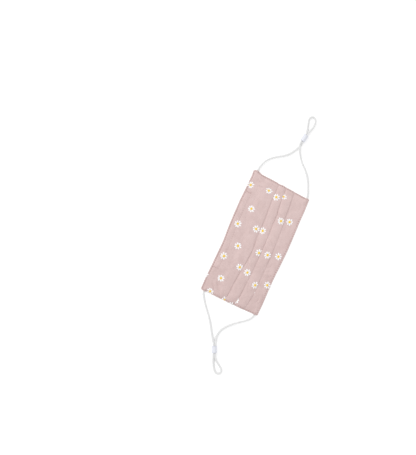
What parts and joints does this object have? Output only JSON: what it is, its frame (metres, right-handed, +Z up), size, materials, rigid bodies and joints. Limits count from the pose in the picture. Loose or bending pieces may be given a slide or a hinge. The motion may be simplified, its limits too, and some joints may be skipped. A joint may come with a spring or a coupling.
{
  "type": "pleated cloth face mask",
  "caption": "Pleated cotton face mask lying flat, with small embroidered daisies, three knife pleats and two soft elastic ear cords with sliding stoppers.",
  "frame": {"origin": "under the middle of the cloth panel, on the surface that the mask lies on", "axes": "+X along the panel to the wearer's left ear, +Y to the nose edge, +Z up out of the front of the cloth"},
  "size_m": [0.3895, 0.0914, 0.0061],
  "materials": {
    "cotton": "matt plain-weave cotton, pale dusty pink, with white and yellow embroidered daisies",
    "elastic": "matt soft knitted elastic, off-white",
    "silicone": "smooth translucent milky silicone"
  },
  "bodies": {
    "root": {"pleated_panel": "cotton", "ear_cord_left": "elastic", "ear_cord_right": "elastic", "cord_stopper_left": "silicone", "cord_stopper_right": "silicone"}
  },
  "joints": []
}
